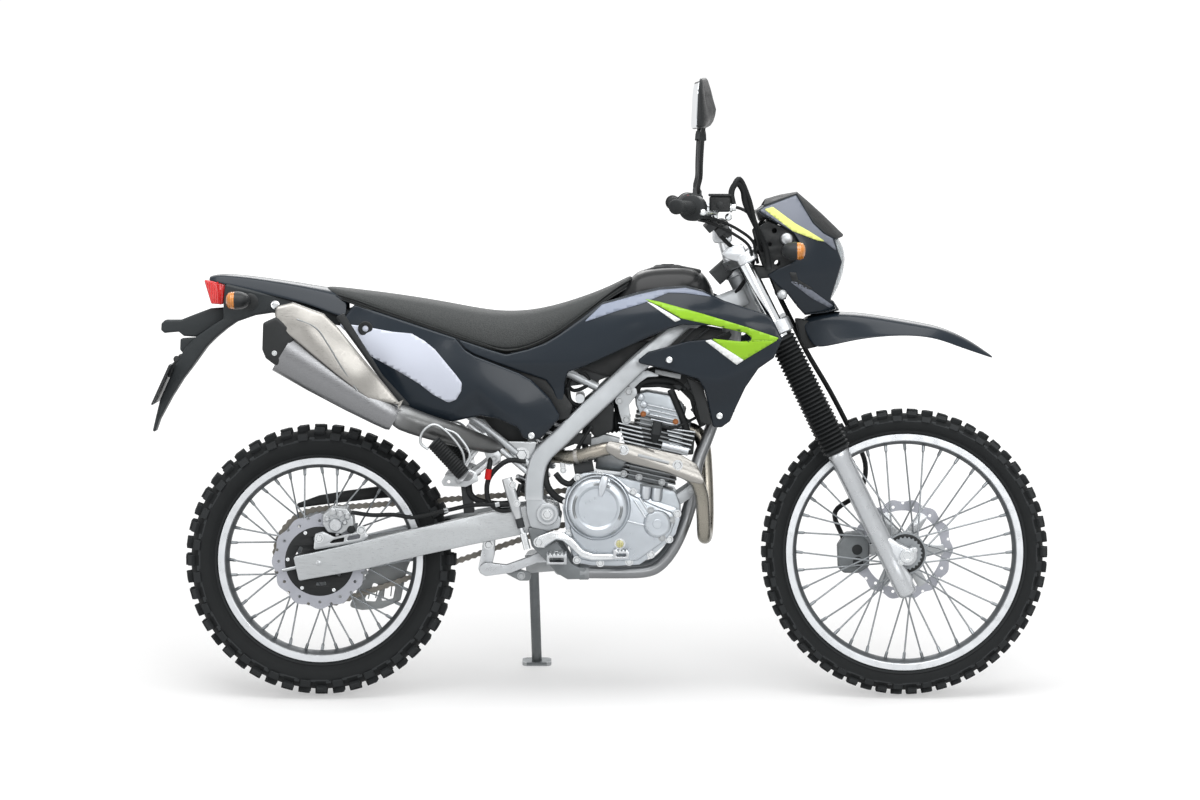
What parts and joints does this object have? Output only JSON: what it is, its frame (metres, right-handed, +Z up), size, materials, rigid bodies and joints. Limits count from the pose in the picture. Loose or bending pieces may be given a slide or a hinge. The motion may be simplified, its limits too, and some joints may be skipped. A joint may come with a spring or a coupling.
{
  "type": "dual sport motorcycle",
  "caption": "Dual sport motorcycle with wire wheels, long-travel fork, high muffler and flat seat, leaning on its side stand; wheels, steering and stand are jointed.",
  "frame": {"origin": "bottom centre of the box of the parked motorcycle, on the ground", "axes": "+X forward, +Y to the rider's left, +Z up; the motorcycle leans 10 degrees towards +Y on its side stand"},
  "size_m": [2.1114, 0.8792, 1.5078],
  "materials": {
    "frame_silver": "satin silver paint",
    "tube_black": "satin black",
    "arm_aluminium": "brushed",
    "case_silver": "cast, silver paint",
    "cover_silver": "cast, silver paint",
    "exhaust_steel": "heat tinted",
    "shield_bright": "brushed",
    "muffler_black": "satin black",
    "body_dark": "gloss dark blue-black",
    "seat_cover": "grained vinyl",
    "plastic_black": "moulded, fine grain",
    "lens_red": "clear red",
    "lens_amber": "clear amber",
    "chain_steel": "oiled",
    "brake_metal": "anodised grey",
    "control_steel": "zinc plated",
    "fork_chrome": "hard chrome",
    "fork_cast": "cast, clear coat",
    "rubber_black": "moulded",
    "bar_black": "satin black",
    "lens_clear": "clear lens",
    "tyre_rubber": "block tread",
    "rim_aluminium": "polished",
    "hub_aluminium": "cast",
    "disc_steel": "ground",
    "stand_steel": "silver paint"
  },
  "bodies": {
    "chassis": {"frame": "frame_silver", "subframe": "tube_black", "swingarm": "arm_aluminium", "crankcase": "case_silver", "engine_covers": "cover_silver", "cylinder": "case_silver", "exhaust_header": "exhaust_steel", "exhaust_shields": "shield_bright", "muffler": "muffler_black", "fuel_tank": "body_dark", "shrouds": "body_dark", "side_covers": "body_dark", "seat": "seat_cover", "tail_cowl": "body_dark", "rear_fender": "plastic_black", "tail_light": "lens_red", "rear_indicators": "lens_amber", "chain": "chain_steel", "chain_guard": "plastic_black", "shock_absorber": "tube_black", "rear_caliper": "brake_metal", "foot_controls": "control_steel", "footpegs": "control_steel", "airbox": "plastic_black"},
    "steering": {"fork_tubes": "fork_chrome", "fork_boots": "rubber_black", "fork_sliders": "fork_cast", "triple_clamps": "fork_cast", "handlebar": "bar_black", "grips": "rubber_black", "controls": "plastic_black", "mirrors": "plastic_black", "headlight_cowl": "body_dark", "headlight": "lens_clear", "front_indicators": "lens_amber", "front_fender": "body_dark", "front_caliper": "brake_metal", "brake_hose": "rubber_black"},
    "front_wheel": {"front_tyre": "tyre_rubber", "front_rim": "rim_aluminium", "front_hub": "hub_aluminium", "front_disc": "disc_steel"},
    "rear_wheel": {"rear_tyre": "tyre_rubber", "rear_rim": "rim_aluminium", "rear_hub": "hub_aluminium", "rear_disc": "disc_steel", "rear_sprocket": "disc_steel"},
    "side_stand": {"side_stand": "stand_steel"}
  },
  "joints": [
    {"name": "steering_turn", "type": "hinge", "parent": "chassis", "child": "steering", "pos_m": [0.30839, -0.04397, 1.01032], "axis": [-0.4437, 0.1556, 0.8825], "range_deg": [-45, 45]},
    {"name": "front_wheel_spin", "type": "hinge", "parent": "steering", "child": "front_wheel", "pos_m": [0.71619, -0.16261, 0.3375], "axis": [0, 0.9848, -0.1736], "continuous": true},
    {"name": "rear_wheel_spin", "type": "hinge", "parent": "chassis", "child": "rear_wheel", "pos_m": [-0.66381, -0.16573, 0.31977], "axis": [0, 0.9848, -0.1736], "continuous": true},
    {"name": "side_stand_fold", "type": "hinge", "parent": "chassis", "child": "side_stand", "pos_m": [-0.16381, -0.03209, 0.283], "axis": [0.0805, 0.9531, 0.2919], "range_deg": [0, 93]}
  ]
}
